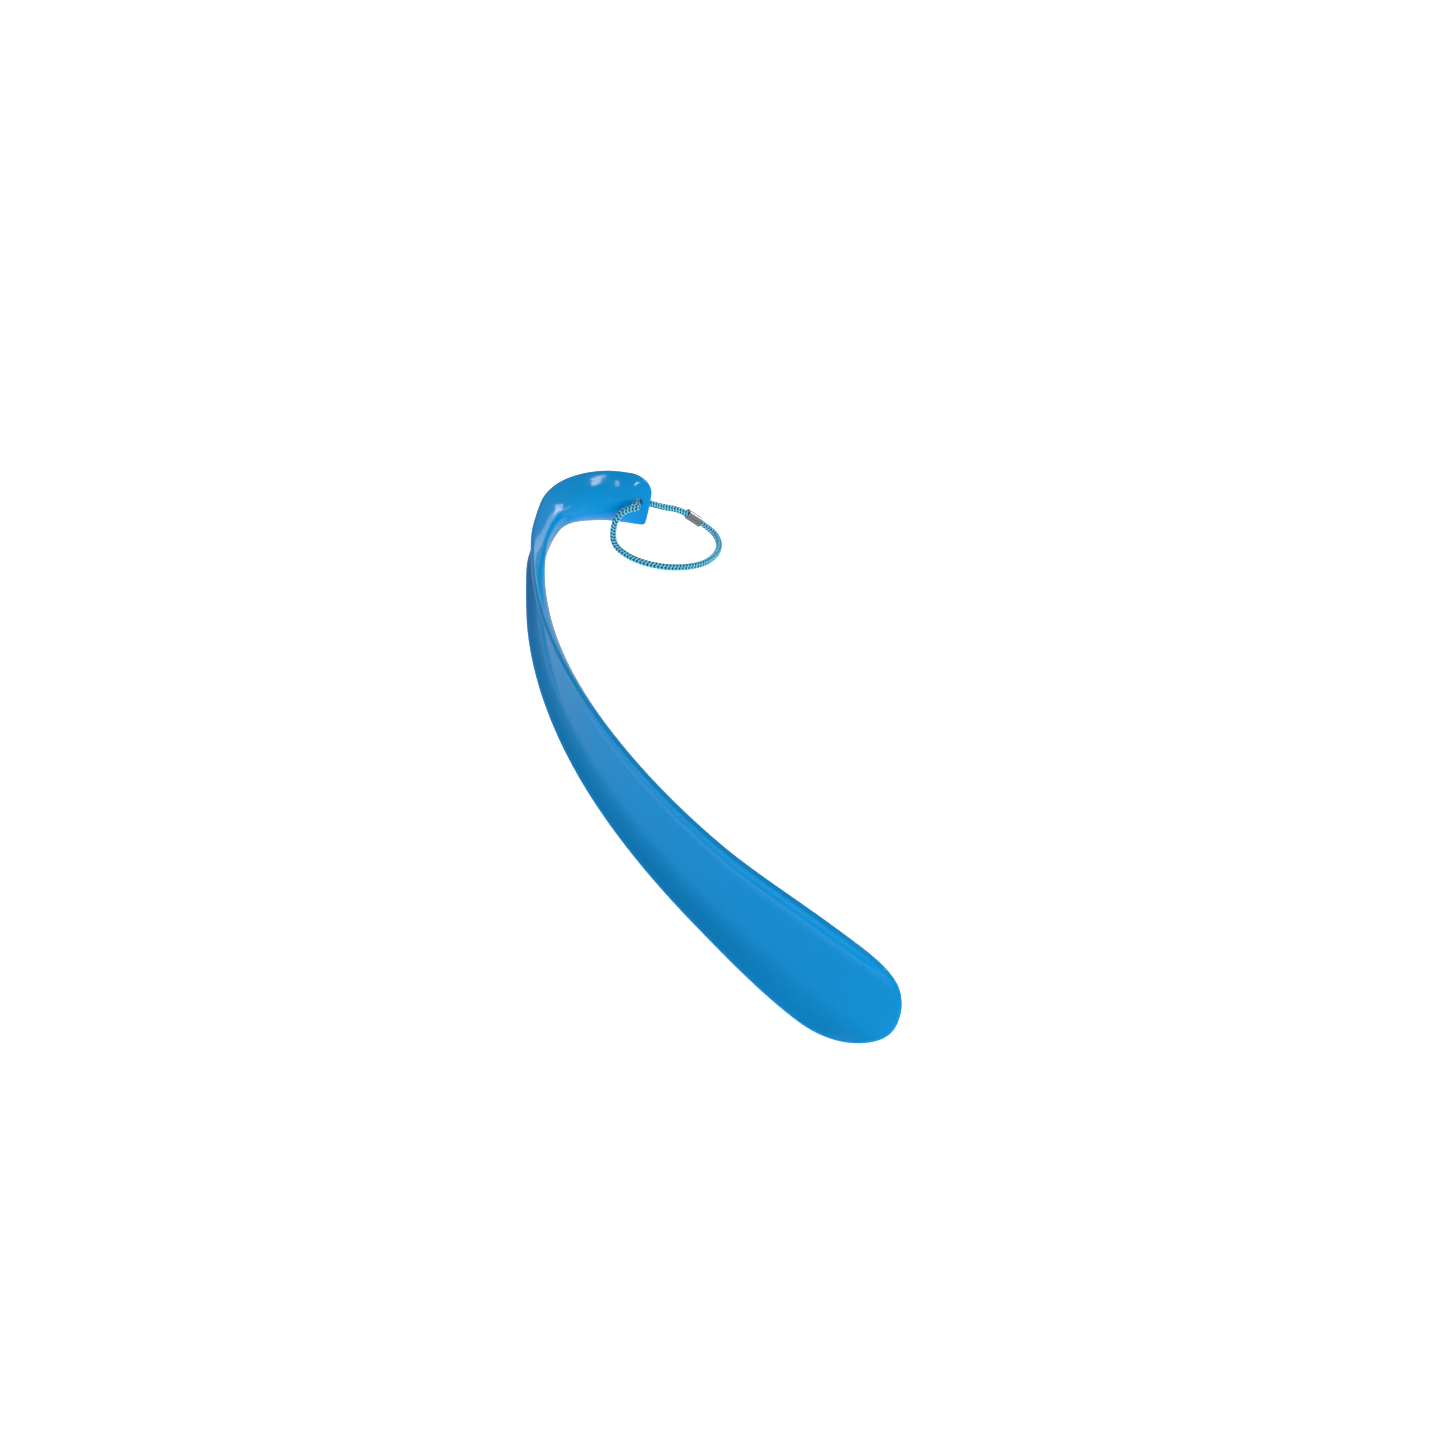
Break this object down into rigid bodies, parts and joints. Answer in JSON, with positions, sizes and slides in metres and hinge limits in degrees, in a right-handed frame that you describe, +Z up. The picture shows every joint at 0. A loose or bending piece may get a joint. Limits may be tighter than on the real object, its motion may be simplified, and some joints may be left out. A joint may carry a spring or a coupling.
{
  "type": "sock aid",
  "caption": "Long one-piece plastic sock and shoe aid: a curved shallow trough with a rounded tip, a narrow neck, a turned-back hook end and a braided cord wrist loop joined by a metal sleeve.",
  "frame": {"origin": "below the middle of the blade's box, on the surface that it lies on; the cord loop is left out of that box", "axes": "+X along the cord hole's axis from the hook end towards the rounded tip, +Y the way the hook's end points, +Z up across the strip, which stands on its long edge as it does when laid down on its side"},
  "size_m": [0.403, 0.1822, 0.0484],
  "materials": {
    "moulded_plastic": "gloss",
    "braided_cord": "woven",
    "crimped_metal": "satin"
  },
  "bodies": {
    "blade": {"blade": "moulded_plastic"},
    "wrist_loop": {"cord_loop": "braided_cord", "ferrule": "crimped_metal"}
  },
  "joints": [
    {"name": "loop_swing", "type": "hinge", "parent": "blade", "child": "wrist_loop", "pos_m": [-0.19062, 0.05954, 0.0242], "axis": [1, 0, 0], "range_deg": [-25, 60]}
  ]
}
